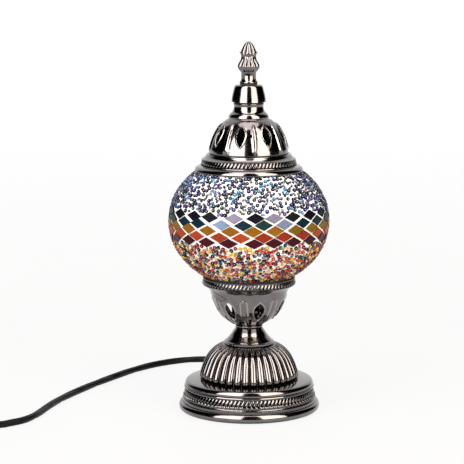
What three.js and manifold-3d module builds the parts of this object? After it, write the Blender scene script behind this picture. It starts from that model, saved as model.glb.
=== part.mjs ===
// Mosaic glass table lamp: pierced cup and cap around a beaded glass globe, on a fluted turned base.
// Millimetres, +Z up. The origin is the middle of the base's underside; the front faces -Y.
import * as THREE from "three";
import { mergeVertices } from "three/addons/utils/BufferGeometryUtils.js";
import Module from "manifold-3d";

const wasm = await Module();
wasm.setup();

// ---- driving dimensions ----
const gap = 0.3;                 // clearance between pieces that touch
const fine = 28;                 // sides on the big turned pieces
const coarse = 18;               // sides on the small turned pieces

const globe = {
  z: 155.8, radius: 65.1, halfHeight: 54, topMouth: 30, bottomMouth: 28, glass: 2.2, mosaic: 2.2, bed: 0.9,
};
const wall = 1.2;                // spun metal sheet
const foot = { radius: 57.5, rim: 54.3, top: 24.4, domeSeat: 40.4, lift: 0.4 };
const dome = { radius: 40.3, bottom: 26.9, top: 54.4, reeds: 36, reedDepth: 0.9 };
const tube = { radius: 4.9, bore: 3.6, bottom: 7.6, top: 90 };
const cup = { floor: 70.9, lip: 109.8, openings: 7, firstOpening: 17, openingLow: 76, openingHigh: 92.6 };
const cap = {
  rimTop: 210.4, neckTop: 254.4, openings: 8, firstOpening: -14, openingLow: 217.4, openingHigh: 233.8,
};
const holder = { radius: 13.4, bottom: 82, top: 121, cavity: 8.3, cavityFloor: 96 };
const bulb = { capRadius: 6.9, capBottom: 101.4, capTop: 119, ballRadius: 21.5, ballZ: 148, glass: 1 };
const harp = { halfWidth: 25.4, strip: 1.5, width: 9, bottom: 75, top: 208 };
const stud = { radius: 2.9, bottom: 202.6, top: 279, hole: 3.3 };
const cord = { radius: 2.8, sides: 8, rest: 2.85, exitZ: 9.8 };
const coil = { x: -256, y: 12, mean: 30.8, halfWidth: 8.6, height: 11.4 };
const inlineSwitch = { x: -243, y: -71, length: 58, width: 24, half: 8, top: 16.6 };
const plug = {
  x: -296.5, y: 66, neck: 12, length: 34, width: 32, thick: 13.4, pin: 2, pinSpan: 18.6, pinLength: 19,
};

// ---- finishes ----
function finish(color, roughness, metalness) {
  return new THREE.MeshStandardMaterial({ color, roughness, metalness });
}

const gunmetal = finish(0x4a4446, 0.18, 1);
const steel = finish(0x9b9da0, 0.35, 1);
const castIron = finish(0x3b3c3e, 0.7, 0.8);
const brass = finish(0xb99a50, 0.3, 1);
const glass = finish(0xe8ecea, 0.1, 0);
const mosaic = finish(0xb9a7a0, 0.4, 0);
const phenolic = finish(0x17161a, 0.4, 0);
const vinyl = finish(0x121214, 0.35, 0);
const rubber = finish(0x1c1c1c, 0.8, 0);
const felt = finish(0x2a2b28, 0.95, 0);
const fibre = finish(0x6b2f22, 0.7, 0);

const lamp = new THREE.Group();

function addNode(name, geometry, material) {
  const mesh = new THREE.Mesh(geometry, material);
  mesh.name = name;
  lamp.add(mesh);
  return mesh;
}

// ---- shape helpers ----
// A body turned about Z from [radius, height] points that run anticlockwise: out along the bottom and up.
function turned(points, sides) {
  const profile = points.map(([radius, z]) => new THREE.Vector2(radius, z));
  return new THREE.LatheGeometry(profile, sides).rotateX(Math.PI / 2);
}

// A turned ring or shell, whose section closes on itself.
function turnedRing(points, sides) {
  return turned([...points, points[0]], sides);
}

// A smooth line through a few [radius, height] points, cut into equal steps.
function smooth(points, steps) {
  const line = new THREE.SplineCurve(points.map(([radius, z]) => new THREE.Vector2(radius, z)));
  return line.getPoints(steps).map((point) => [point.x, point.y]);
}

// A wall of even thickness inside an outer line, walked back from its top to its bottom.
function innerLine(outer, thickness) {
  const inner = outer.map(([radius, z], i) => {
    const [r0, z0] = outer[Math.max(i - 1, 0)];
    const [r1, z1] = outer[Math.min(i + 1, outer.length - 1)];
    const length = Math.hypot(r1 - r0, z1 - z0);
    return [radius - (thickness * (z1 - z0)) / length, z + (thickness * (r1 - r0)) / length];
  });
  return inner.reverse();
}

// Points on the globe's ellipse, grown by "offset", from one radius round the waist to another.
function globeLine(offset, lowRadius, highRadius, steps) {
  const a = globe.radius + offset;
  const b = globe.halfHeight + offset;
  const low = -Math.acos(lowRadius / a);
  const high = Math.acos(highRadius / a);
  const points = [];
  for (let i = 0; i <= steps; i += 1) {
    const angle = low + ((high - low) * i) / steps;
    points.push([a * Math.cos(angle), globe.z + b * Math.sin(angle)]);
  }
  return points;
}

function box(width, depth, height, x, y, z) {
  return new THREE.BoxGeometry(width, depth, height).translate(x, y, z);
}

function rod(radius, bottom, top, sides) {
  const geometry = new THREE.CylinderGeometry(radius, radius, top - bottom, sides);
  return geometry.rotateX(Math.PI / 2).translate(0, 0, (bottom + top) / 2);
}

function circle(radius, sides) {
  const points = [];
  for (let i = 0; i < sides; i += 1) {
    const angle = (2 * Math.PI * i) / sides;
    points.push(new THREE.Vector2(radius * Math.cos(angle), radius * Math.sin(angle)));
  }
  return new THREE.Shape(points);
}

// A round bar along a smooth route.
function along(route, radius, sides, step) {
  const points = route.map((point) => new THREE.Vector3(...point));
  const path = new THREE.CatmullRomCurve3(points, false, "centripetal");
  const steps = Math.ceil(path.getLength() / step);
  return new THREE.ExtrudeGeometry(circle(radius, sides), { steps, extrudePath: path, bevelEnabled: false });
}

// A flat outline in X and Z, as thick as "depth" along Y.
function slab(shape, depth, curveSegments = 6) {
  const geometry = new THREE.ExtrudeGeometry(shape, { depth, bevelEnabled: false, curveSegments });
  return geometry.rotateX(Math.PI / 2).translate(0, depth / 2, 0);
}

function roundedRectangle(width, height, radius) {
  const x = width / 2;
  const y = height / 2;
  const shape = new THREE.Shape();
  shape.moveTo(-x + radius, -y);
  shape.lineTo(x - radius, -y).absarc(x - radius, -y + radius, radius, -Math.PI / 2, 0);
  shape.lineTo(x, y - radius).absarc(x - radius, y - radius, radius, 0, Math.PI / 2);
  shape.lineTo(-x + radius, y).absarc(-x + radius, y - radius, radius, Math.PI / 2, Math.PI);
  shape.lineTo(-x, -y + radius).absarc(-x + radius, -y + radius, radius, Math.PI, 1.5 * Math.PI);
  return shape;
}

function solid(geometry) {
  const bare = geometry.clone();
  bare.deleteAttribute("normal");
  bare.deleteAttribute("uv");
  const merged = mergeVertices(bare, 1e-4);
  return new wasm.Manifold(new wasm.Mesh({
    numProp: 3,
    vertProperties: merged.attributes.position.array,
    triVerts: new Uint32Array(merged.index.array),
  }));
}

function cut(geometry, ...cutters) {
  let body = solid(geometry);
  for (const cutter of cutters) body = body.subtract(solid(cutter));
  const mesh = body.getMesh();
  const result = new THREE.BufferGeometry();
  result.setAttribute("position", new THREE.BufferAttribute(new Float32Array(mesh.vertProperties), 3));
  result.setIndex(new THREE.BufferAttribute(new Uint32Array(mesh.triVerts), 1));
  return result;
}

// Pointed-leaf cutters that stand out from the axis, in a ring.
function leafCutters({ openings, firstOpening, openingLow, openingHigh }, halfWidth, reach) {
  const middle = (openingLow + openingHigh) / 2;
  const half = (openingHigh - openingLow) / 2;
  const leaf = new THREE.Shape();
  leaf.moveTo(0, -half);
  leaf.quadraticCurveTo(halfWidth * 1.1, -half * 0.5, halfWidth, 0);
  leaf.quadraticCurveTo(halfWidth * 1.1, half * 0.5, 0, half);
  leaf.quadraticCurveTo(-halfWidth * 1.1, half * 0.5, -halfWidth, 0);
  leaf.quadraticCurveTo(-halfWidth * 1.1, -half * 0.5, 0, -half);
  const cutters = [];
  for (let i = 0; i < openings; i += 1) {
    const turn = THREE.MathUtils.degToRad(firstOpening + (360 * i) / openings);
    const cutter = slab(leaf, reach, 2).translate(0, -reach / 2 - 9, middle);
    cutters.push(cutter.rotateZ(turn));
  }
  return cutters;
}

// ---- base ----
function baseFoot() {
  const outer = [
    [foot.rim - 1.6, foot.lift], [foot.rim, foot.lift],
    [foot.rim + 2, 1.4], [foot.radius, 3.8], [foot.radius, 6.2], [56.4, 8.2],
    [54.1, 10.2], [54.1, 12.2], [54.9, 14.4], [53.8, 17.8], [53.2, 20.4], [52.4, 21.6], [52.5, 23.2],
    [51.7, foot.top], [foot.domeSeat, foot.top + 1.9], [36, foot.top + 1.9],
  ];
  const inner = [
    [36, foot.top + 0.6], [50.4, foot.top - 1.2], [51.6, 16], [52.6, 9], [55.4, 7], [55.8, 4.2],
    [foot.rim - 1.6, 2.2],
  ];
  const cordHole = new THREE.CylinderGeometry(5.4, 5.4, 16, 14).translate(0, 54, cord.exitZ);
  addNode("base_foot", cut(turnedRing([...outer, ...inner], fine), cordHole), gunmetal);
}

function baseDome() {
  const line = smooth(
    [[dome.radius, dome.bottom], [39.7, 32], [37.7, 38], [34.6, 44.6], [29.4, 50.6], [20, dome.top]],
    4,
  );
  const profile = [...line, [6, dome.top + 0.2], ...innerLine([...line, [6, dome.top + 0.2]], 2.1)];
  const sides = dome.reeds * 2;
  const geometry = turnedRing(profile, sides);
  const position = geometry.attributes.position;
  // every other column stands in a groove between two reeds, which fade out under the stem
  for (let i = 0; i < position.count; i += 1) {
    const x = position.getX(i);
    const y = position.getY(i);
    const radius = Math.hypot(x, y);
    const column = Math.round((Math.atan2(y, x) / (2 * Math.PI)) * sides);
    if (radius > 22 && column % 2 !== 0) {
      const scale = 1 - (dome.reedDepth * Math.min((radius - 22) / 6, 1)) / radius;
      position.setX(i, x * scale);
      position.setY(i, y * scale);
    }
  }
  addNode("base_dome", geometry, gunmetal);
}

function baseInside() {
  addNode("base_felt", rod(52, 0, 1.4, fine), felt);
  addNode("base_cover", rod(52, 1.7, 2.9, fine), steel);
  const weight = [[5.4, 13.4], [42, 13.4], [42, 20.6], [39, 22], [5.4, 22]];
  addNode("base_weight", turnedRing(weight, fine), castIron);
  addNode("bottom_washer", turnedRing([[5.3, 11.9], [10.5, 11.9], [10.5, 13.1], [5.3, 13.1]], coarse), steel);
  const hexagon = rod(8.1, 8.1, 11.6, 6);
  addNode("bottom_nut", cut(hexagon, rod(5.2, 7, 13, 24)), brass);
}

function stem() {
  const cone = [
    [16.4, 54.9], [20, 54.9], [20.4, 55.4], [20.4, 56.3], [19.8, 57],
    ...smooth([[18.9, 57.3], [16.9, 60.2], [13.8, 63.6], [12, 66.4], [11, 68.2]], 4),
    [5.4, 68.2], [5.4, 66.6], [9.6, 66.2], [12.6, 62], [15.6, 58],
  ];
  addNode("stem_cone", turnedRing(cone, coarse), gunmetal);
  const bead = [[10.6, 68.5], [11.2, 69], [11.2, 70.1], [10.6, 70.6]];
  addNode("neck_ring", turnedRing([[5.4, 68.5], ...bead, [5.4, 70.6]], coarse), gunmetal);
  const { radius, bore, bottom, top } = tube;
  const tubeWall = [[bore, bottom], [radius, bottom], [radius, top], [bore, top]];
  addNode("threaded_tube", turnedRing(tubeWall, 24), steel);
}

// ---- cup, globe and cap ----
function pierceCup() {
  const bowl = smooth(
    [[11.4, cup.floor], [16.8, 73.5], [21.3, 76.7], [26.2, 83.4], [29.2, 90.2], [31.1, 96.6]],
    5,
  );
  const cove = smooth([[32.3, 99.4], [35, 102.3], [37.5, 103.8]], 2);
  const lip = [[38.2, 105], [38.2, 108.6], [37.4, cup.lip], [36.6, cup.lip], [36.7, 105.7]];
  const inside = smooth(
    [[35.4, 104.6], [31.2, 100.4], [29.8, 96.4], [27.9, 90.4], [24.9, 84], [20.4, 78.1], [15.6, 75]],
    4,
  );
  const profile = [[5.4, cup.floor], ...bowl, ...cove, ...lip, ...inside, [12.4, 73.2], [5.4, 73]];
  addNode("cup", cut(turnedRing(profile, fine), ...leafCutters(cup, 3.7, 34)), gunmetal);
}

function globeAndGaskets() {
  const glassOuter = -(globe.mosaic + globe.bed);
  const glassInner = glassOuter - globe.glass;
  const outside = globeLine(glassOuter, globe.bottomMouth, globe.topMouth, 8);
  const inside = globeLine(glassInner, globe.bottomMouth, globe.topMouth, 8).reverse();
  addNode("glass_globe", turnedRing([...outside, ...inside], fine), glass);
  const face = globeLine(0, 36.9, 41.5, 8);
  const back = globeLine(-globe.mosaic, 37, 41.3, 8).reverse();
  addNode("mosaic_skin", turnedRing([...face, ...back], fine), mosaic);
  const lowSeat = [[31.7, 101.6], [34.3, 104.2], [36, 105.9], [36, 112.9], [31.7, 110.7]];
  addNode("globe_gasket", turnedRing(lowSeat, fine), rubber);
  addNode("cap_gasket", turnedRing([[32, 200.9], [36, 199.1], [36, 204.7], [32, 207.3]], fine), rubber);
}

function capPieces() {
  const rim = [
    [43.3, 197], [44, 196.7], [43.9, 197.8], [42.6, 198.9], [39.4, 200.9],
    [38.5, 201.6], [38.5, 206], [37.4, 206.6], [34.6, 208.2],
    [33.2, cap.rimTop], [30.2, cap.rimTop],
    [30.2, 209], [31.8, 208.6], [36.6, 205.3], [36.8, 201.6], [40.6, 199.1],
  ];
  addNode("cap_rim", turnedRing(rim, fine), gunmetal);
  const bowl = smooth(
    [[31.9, 210.8], [30.7, 217.8], [28.5, 224.4], [25, 230.7], [20, 235.9], [16.2, 238.9]],
    5,
  );
  const neck = smooth([[15.2, 240.6], [12.6, 244.6], [11.9, 248], [11.8, cap.neckTop]], 3);
  const outer = [...bowl, ...neck];
  const inner = innerLine(outer, wall);
  inner[0][1] = cap.neckTop - wall;
  inner[inner.length - 1][1] = 210.8;
  const profile = [...outer, [stud.hole, cap.neckTop], [stud.hole, cap.neckTop - wall], ...inner];
  addNode("cap_dome", cut(turnedRing(profile, fine), ...leafCutters(cap, 3.4, 34)), gunmetal);
  const bell = smooth([[13.9, 252], [13.8, 254.8], [13, 258], [12.2, 261.4], [11.2, 264.7]], 3);
  const bellInner = innerLine(bell, wall);
  bellInner[0] = [bellInner[0][0] - 0.3, 264.2];
  bellInner[bellInner.length - 1][1] = 252;
  const collar = [...bell, [10, 265.4], [stud.hole, 265.4], [stud.hole, 264.2], ...bellInner];
  addNode("finial_collar", turnedRing(collar, coarse), gunmetal);
}

function finialPieces() {
  const washer = [[stud.hole, 265.7], [7, 265.7], [7, 266.5], [stud.hole, 266.5]];
  addNode("finial_washer", turnedRing(washer, coarse), fibre);
  const outline = [
    [7.5, 266.8], [7.3, 267.7], [6.1, 269.2], [6, 275.4], [7.5, 276.9], [8.7, 279], [8.7, 281.4], [7.2, 284],
    [6.3, 286.4], [6.2, 288.4], [6.9, 290.4], [6.8, 291.8],
    [5.5, 293.3], [4.4, 296.4], [1.6, 299.5], [0, 300],
  ];
  addNode("finial", turned([[0, 281], [stud.hole, 281], [stud.hole, 266.8], ...outline], coarse), gunmetal);
}

// ---- lampholder, bulb and harp ----
function lampholder() {
  const { radius, bottom, top, cavity, cavityFloor } = holder;
  const body = [
    [5.2, bottom], [10, bottom], [radius - 1, bottom + 2], [radius - 1, 95], [radius, 97], [radius, top - 1],
    [radius - 1, top], [cavity, top], [cavity, cavityFloor], [5.2, cavityFloor],
  ];
  addNode("lampholder", turnedRing(body, coarse), phenolic);
  const shell = [[7.4, 103], [7.9, 103], [7.9, 118.5], [7.4, 118.5]];
  addNode("lampholder_shell", turnedRing(shell, coarse), brass);
  addNode("lampholder_contact", rod(2.2, 97.2, 99.2, 16), brass);
  for (const [name, side] of [["lead_live", -1], ["lead_neutral", 1]]) {
    const x = 1.6 * side;
    const route = [
      [x, 11.6, 5.2], [x, 6, 4.9], [x, 2.2, 5.6], [x, 0.4, 8.6],
      [x, 0, 13], [x, 0, 40], [x, 0, 80], [x, 0, 96.6],
    ];
    addNode(name, along(route, 1, 6, 5), vinyl);
  }
}

function lightBulb() {
  const { capRadius, capBottom, capTop, ballRadius, ballZ } = bulb;
  addNode("bulb_tip", rod(3, capBottom - 1.9, capBottom - gap, 16), phenolic);
  const side = [[capRadius, capBottom + 3], [capRadius, capTop]];
  const screwCap = [[0, capBottom], [4.6, capBottom], ...side, [0, capTop]];
  addNode("bulb_cap", turned(screwCap, coarse), steel);
  const ball = [];
  const lowest = -Math.acos(8.6 / ballRadius);
  for (let i = 0; i <= 5; i += 1) {
    const angle = lowest + ((Math.PI / 2 - lowest) * i) / 5;
    ball.push([Math.abs(ballRadius * Math.cos(angle)), ballZ + ballRadius * Math.sin(angle)]);
  }
  const shoulder = [[6.6, capTop + gap], [7.4, capTop + 5]];
  const outer = [...shoulder, ...ball];
  const inner = innerLine(outer, bulb.glass);
  inner[0] = [0, ballZ + ballRadius - bulb.glass];
  inner[inner.length - 1][1] = capTop + gap;
  addNode("bulb_glass", turned([...outer, ...inner, outer[0]], coarse), glass);
  const wire = [
    [-3, 0, capTop + 1], [-3.4, 0, 134], [-6, 0, 146], [0, 0, 152],
    [6, 0, 146], [3.4, 0, 134], [3, 0, capTop + 1],
  ];
  addNode("bulb_filament", along(wire, 0.6, 6, 5), brass);
}

function harpPieces() {
  const { halfWidth, strip, width, bottom, top } = harp;
  const loop = (inset) => {
    const x = halfWidth - inset;
    const low = bottom + inset;
    const high = top - inset;
    const shape = new THREE.Shape();
    shape.moveTo(-12.5, low).lineTo(12.5, low).lineTo(x - 0.6, 94 + inset * 0.4);
    shape.lineTo(x, 112).lineTo(x, 180).quadraticCurveTo(x, high, 9, high);
    shape.lineTo(-9, high).quadraticCurveTo(-x, high, -x, 180);
    shape.lineTo(-x, 112).lineTo(-x + 0.6, 94 + inset * 0.4).closePath();
    return shape;
  };
  const outline = loop(0);
  outline.holes.push(new THREE.Path(loop(strip).getPoints(6)));
  const bent = slab(outline, width);
  const tubeHole = rod(5.3, bottom - 1, bottom + 3, 24);
  const studHole = rod(stud.hole, top - 3, top + 1, 20);
  addNode("harp", cut(bent, tubeHole, studHole), steel);
  addNode("top_stud", rod(stud.radius, stud.bottom, stud.top, 20), steel);
  for (const [name, z] of [["stud_nut_lower", top - strip - gap - 2.6], ["stud_nut_upper", top + gap]]) {
    const hexagon = rod(5.4, z, z + 2.6, 6);
    addNode(name, cut(hexagon, rod(stud.radius + gap, z - 1, z + 4, 20)), brass);
  }
  const washer = [[5.3, 73.4], [11, 73.4], [11, 74.6], [5.3, 74.6]];
  addNode("cup_washer", turnedRing(washer, coarse), steel);
  const nutTop = bottom + strip + gap;
  addNode("holder_nut", cut(rod(8.1, nutTop, nutTop + 3.4, 6), rod(5.2, nutTop - 1, nutTop + 5, 24)), brass);
}

// ---- cord ----
// The cord's route from the sleeve's end, round behind the lamp and along its left side to the switch.
const runRoute = [
  [0, 80.3, cord.exitZ], [0, 83, 9.7], [0, 89, 8.4], [0, 97, 5.6], [-0.3, 107, 3.5], [-1.4, 120, cord.rest],
  [-4.6, 135, cord.rest], [-11, 150, cord.rest], [-22, 163, cord.rest], [-36, 170.6, cord.rest],
  [-50, 170.6, cord.rest], [-63, 165.6, cord.rest],
  [-76, 157, cord.rest], [-89, 144.6, cord.rest], [-104.4, 124, cord.rest], [-118, 101, cord.rest],
  [-130.6, 78, cord.rest], [-142, 55, cord.rest], [-151.8, 33, cord.rest], [-158.6, 15, cord.rest],
  [-164.4, -4, cord.rest], [-169.4, -24, cord.rest], [-174.2, -39, cord.rest], [-181, -50.6, cord.rest],
  [-189, -58, cord.rest], [-197, -64.2, 3], [-203.6, -68.4, 5.4], [-209, -70.6, 7.8], [-213.2, -71, 8.3],
];
// From the switch round to the outer turn of the coil, which it meets at the coil's left.
const linkRoute = [
  [-272.9, -71, 8.3], [-277, -70.8, 7.7], [-283, -69.4, 5], [-289.6, -66, 3.1], [-295, -62, cord.rest],
  [-301.6, -53, cord.rest], [-304, -42, cord.rest], [-302.6, -30, cord.rest], [-298.6, -18, cord.rest],
  [-295.2, -7, cord.rest], [-293.2, 4, cord.rest],
];
// From the coil's outer turn to the plug's neck.
const tailRoute = [
  [-293, 22, 8], [-294.2, 32, 7.8], [-295.4, 42, 7.4], [-296.2, 50, 7], [-296.4, 57, 6.8],
  [plug.x, plug.y - gap, plug.thick / 2],
];

function cordPieces() {
  const straightIn = [
    [0, 12, 5.8], [0, 22, 6.2], [0, 34, 8], [0, 44, 9.5], [0, 54, cord.exitZ], [0, 79.6, cord.exitZ],
  ];
  addNode("cord_inner", along(straightIn, cord.radius, cord.sides, 9), vinyl);
  const flange = [[6.6, -9], [6.6, -6.4], [4.7, -6.4], [4.7, 4.6], [6.4, 4.6], [6.2, 6.4], [5, 8.6]];
  const sleeve = turnedRing([[3.3, -9], ...flange, [4, 26.6], [3.3, 26.6]], 14);
  // turned about Z, then laid along +Y with its flanges either side of the foot's wall
  addNode("cord_sleeve", sleeve.rotateX(-Math.PI / 2).translate(0, 53.4, cord.exitZ), rubber);
  const clampBlock = box(16, 9, 9.6, 0, 34, 8.1);
  const clampBore = new THREE.CylinderGeometry(3.6, 3.6, 20, 16).rotateX(0.16).translate(0, 34, 8);
  addNode("cord_clamp", cut(clampBlock, clampBore), phenolic);

  const { x, y, mean, halfWidth, height } = coil;
  const corner = 2;
  const low = mean - halfWidth;
  const high = mean + halfWidth;
  const bundle = [
    [low + corner, 0.02], [high - corner, 0.02], [high, corner], [high, height - corner],
    [high - corner, height], [low + corner, height], [low, height - corner], [low, corner],
  ];
  const clearance = [[low - 1, -5], [high + gap, -5], [high + gap, 30], [low - 1, 30]];
  const around = turnedRing(clearance, fine).translate(x, y, 0);
  addNode("cord_run", along(runRoute, cord.radius, cord.sides, 12), vinyl);
  addNode("cord_link", cut(along(linkRoute, cord.radius, cord.sides, 7), around), vinyl);
  addNode("cord_tail", cut(along(tailRoute, cord.radius, cord.sides, 7), around), vinyl);
  addNode("cord_coil", turnedRing(bundle, fine).translate(x, y, 0), vinyl);

  // the tie strides the coil at its right side
  const tie = roundedRectangle(2 * (halfWidth + 1.8), 2 * (height + gap + 1), 2);
  const hollow = roundedRectangle(2 * (halfWidth + 0.7), 2 * (height + gap), 1.4);
  tie.holes.push(new THREE.Path(hollow.getPoints(4)));
  const strap = cut(slab(tie, 8, 4), box(60, 20, 40, 0, 0, -19.9));
  addNode("coil_tie", strap.translate(x + mean, y, 0.02), rubber);
}

function switchPieces() {
  const { x, y, length, width, half, top } = inlineSwitch;
  const shell = (low, high) => {
    const outline = roundedRectangle(length, width, 9);
    const options = { depth: high - low, bevelEnabled: false, curveSegments: 5 };
    return new THREE.ExtrudeGeometry(outline, options).translate(x, y, low);
  };
  addNode("switch_base", shell(0.02, half), vinyl);
  const pocket = box(15.4, 10.4, 20, x, y, top - 1.6);
  addNode("switch_cover", cut(shell(half + gap, top), pocket), vinyl);
  // the rocker lies with its far end down, and turns about the middle of its underside
  const rocker = new THREE.Shape();
  rocker.moveTo(-6.6, 0).lineTo(0, -1.6).lineTo(6.6, 0).lineTo(6.6, 7.2);
  rocker.quadraticCurveTo(0, 5.2, -6.6, 7.2).closePath();
  const tilt = THREE.MathUtils.degToRad(7);
  addNode("switch_rocker", slab(rocker, 9.2, 5).rotateY(tilt).translate(x, y, 11.6), phenolic);
}

function plugPieces() {
  const { x, y, neck, length, width, thick, pin, pinSpan, pinLength } = plug;
  const outline = new THREE.Shape();
  outline.moveTo(-4, 0).lineTo(4, 0).lineTo(5, neck).lineTo(width / 2, neck + 9);
  outline.lineTo(width / 2, neck + length - 12).lineTo(width / 2 - 3, neck + length);
  outline.lineTo(-width / 2 + 3, neck + length).lineTo(-width / 2, neck + length - 12);
  outline.lineTo(-width / 2, neck + 9).lineTo(-5, neck).closePath();
  const bevel = 2;
  const options = {
    depth: thick - 2 * bevel, bevelThickness: bevel, bevelSize: bevel, bevelOffset: -bevel, bevelSegments: 2,
  };
  const body = new THREE.ExtrudeGeometry(outline, options).translate(x, y, bevel);
  addNode("plug_body", body, vinyl);
  for (const [name, side] of [["plug_pin_left", -1], ["plug_pin_right", 1]]) {
    const pinBody = new THREE.CylinderGeometry(pin, pin, pinLength, 16);
    const middle = y + neck + length + gap + pinLength / 2;
    addNode(name, pinBody.translate(x + (side * pinSpan) / 2, middle, thick / 2), brass);
  }
}

baseFoot();
baseDome();
baseInside();
stem();
pierceCup();
globeAndGaskets();
capPieces();
finialPieces();
lampholder();
lightBulb();
harpPieces();
cordPieces();
switchPieces();
plugPieces();

export default lamp;
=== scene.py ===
import math
import random

import bmesh
import bpy
import numpy as np
from mathutils import Matrix, Vector


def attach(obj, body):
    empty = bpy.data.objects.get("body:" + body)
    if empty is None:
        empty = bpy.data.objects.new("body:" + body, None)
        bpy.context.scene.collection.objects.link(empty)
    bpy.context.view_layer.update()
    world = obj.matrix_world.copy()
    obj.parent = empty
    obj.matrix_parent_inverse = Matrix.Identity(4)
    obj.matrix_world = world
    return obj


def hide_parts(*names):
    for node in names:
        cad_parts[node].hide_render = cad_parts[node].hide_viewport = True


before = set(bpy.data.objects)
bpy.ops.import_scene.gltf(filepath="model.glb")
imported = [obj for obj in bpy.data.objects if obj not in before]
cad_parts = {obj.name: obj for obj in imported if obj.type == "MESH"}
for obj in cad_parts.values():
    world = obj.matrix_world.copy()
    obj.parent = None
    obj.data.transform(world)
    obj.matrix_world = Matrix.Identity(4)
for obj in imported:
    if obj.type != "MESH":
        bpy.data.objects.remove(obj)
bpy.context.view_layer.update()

print("frame loaded")

# The shapes below are worked out in millimetres and brought to metres as each piece is finished.
millimetre = 0.001


# Camera, floor and light.
camera = {"place": (-0.013, -1.548, 0.385), "pitch": 81.23, "roll": 0.16, "lens": 150.05, "sensor": 36}
lens = bpy.data.cameras.new("studio_camera")
lens.lens = camera["lens"]
lens.sensor_width = camera["sensor"]
lens.clip_start = 0.05
lens.clip_end = 60
viewer = bpy.data.objects.new("studio_camera", lens)
viewer.location = camera["place"]
viewer.rotation_euler = (math.radians(camera["pitch"]), math.radians(camera["roll"]), 0)
bpy.context.scene.collection.objects.link(viewer)
bpy.context.scene.camera = viewer
bpy.context.scene.view_settings.view_transform = "Standard"


def linear(hexColour):
    channels = [int(hexColour[i:i + 2], 16) / 255 for i in (1, 3, 5)]
    return tuple(c / 12.92 if c <= 0.04045 else ((c + 0.055) / 1.055) ** 2.4 for c in channels) + (1.0,)


def addNode(tree, kind, settings=None, links=None):
    node = tree.nodes.new("ShaderNode" + kind)
    for key, value in (settings or {}).items():
        if isinstance(key, int) or key in node.inputs:
            node.inputs[key].default_value = value
        else:
            setattr(node, key, value)
    for key, source in (links or {}).items():
        tree.links.new(source, node.inputs[key])
    return node


# A tall softbox either side of the camera and one overhead, a white card behind the lamp, and a dark room.
studio = {
    "room": "#060606", "card": "#ffffff", "seen": "#fefefe",
    "cardEdge": 0.82, "cardLean": 0.52, "cardSoftness": 0.08,
    "boxDistance": 1.26, "boxTall": 3.45, "boxMiddle": 1.9, "boxGlow": 6.6,
    "boxes": [
        {"turn": -36, "wide": 1.08, "colour": "#fffaf6"},
        {"turn": 41.2, "wide": 0.96, "colour": "#fff7e8"},
    ],
    "top": (0, -0.12, 1.75), "topAim": (0, 0, 0.16), "topSide": 1.1, "topGlow": 3.4, "topColour": "#fff4f2",
}
world = bpy.data.worlds.new("studio")
world.use_nodes = True
bpy.context.scene.world = world
sky = world.node_tree
sky.nodes.clear()
where = addNode(sky, "TexCoord")
split = addNode(sky, "SeparateXYZ", links={"Vector": where.outputs["Generated"]})
lean = addNode(sky, "Math", {"operation": "MULTIPLY_ADD", 1: studio["cardLean"]},
               {0: split.outputs["Z"], 2: split.outputs["Y"]})
edge, softness = studio["cardEdge"], studio["cardSoftness"]
card = addNode(sky, "MapRange", {"From Min": edge - softness, "From Max": edge + softness},
               {"Value": lean.outputs[0]})
tone = addNode(sky, "Mix", {"data_type": "RGBA", 6: linear(studio["room"]), 7: linear(studio["card"])},
               {0: card.outputs["Result"]})
cameraRay = addNode(sky, "LightPath").outputs["Is Camera Ray"]
shown = addNode(sky, "Mix", {"data_type": "RGBA", 7: linear(studio["seen"])},
                {0: cameraRay, 6: tone.outputs[2]})
back = addNode(sky, "Background", {"Strength": 1.0}, {"Color": shown.outputs[2]})
addNode(sky, "OutputWorld", links={"Surface": back.outputs["Background"]})


# A softbox's power follows from its size and from how bright its face looks.
def addSoftbox(place, aim, wide, tall, glow, colour):
    light = bpy.data.lights.new("softbox", "AREA")
    light.shape = "RECTANGLE"
    light.size = wide
    light.size_y = tall
    light.energy = glow * math.pi * wide * tall
    light.color = linear(colour)[:3]
    softbox = bpy.data.objects.new("softbox", light)
    softbox.location = place
    softbox.rotation_euler = (aim - softbox.location).to_track_quat("-Z", "Y").to_euler()
    softbox.visible_camera = False
    bpy.context.scene.collection.objects.link(softbox)


for box in studio["boxes"]:
    facing = math.radians(box["turn"])
    middle = Vector((0, 0, studio["boxMiddle"]))
    away = Vector((math.sin(facing), -math.cos(facing), 0)) * studio["boxDistance"]
    addSoftbox(middle + away, middle, box["wide"], studio["boxTall"], studio["boxGlow"], box["colour"])
above, under, side = Vector(studio["top"]), Vector(studio["topAim"]), studio["topSide"]
addSoftbox(above, under, side, side, studio["topGlow"], studio["topColour"])


def shader(name, **settings):
    material = bpy.data.materials.new(name)
    material.use_nodes = True
    principled = material.node_tree.nodes["Principled BSDF"]
    for key, value in settings.items():
        principled.inputs[key.replace("_", " ")].default_value = value
    return material, material.node_tree, principled


# Even spots of one real size, in millimetres, on Object coordinates.
def spots(tree, size, detail=3.0, roughness=0.5, distortion=0.0):
    place = addNode(tree, "TexCoord")
    settings = {"Scale": 1000 / size, "Detail": detail, "Roughness": roughness, "Distortion": distortion}
    return addNode(tree, "TexNoise", settings, {"Vector": place.outputs["Object"]}).outputs["Fac"]


def between(tree, value, low, high, start=0.3, end=0.7):
    settings = {"From Min": start, "From Max": end, "To Min": low, "To Max": high}
    return addNode(tree, "MapRange", settings, {"Value": value}).outputs["Result"]


def mixed(tree, value, first, second):
    links = {0: value}
    settings = {"data_type": "RGBA"}
    for socket, colour in ((6, first), (7, second)):
        if isinstance(colour, str):
            settings[socket] = linear(colour)
        else:
            links[socket] = colour
    return addNode(tree, "Mix", settings, links).outputs[2]


def tint(tree, principled, value, first, second):
    tree.links.new(mixed(tree, value, first, second), principled.inputs["Base Color"])


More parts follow.
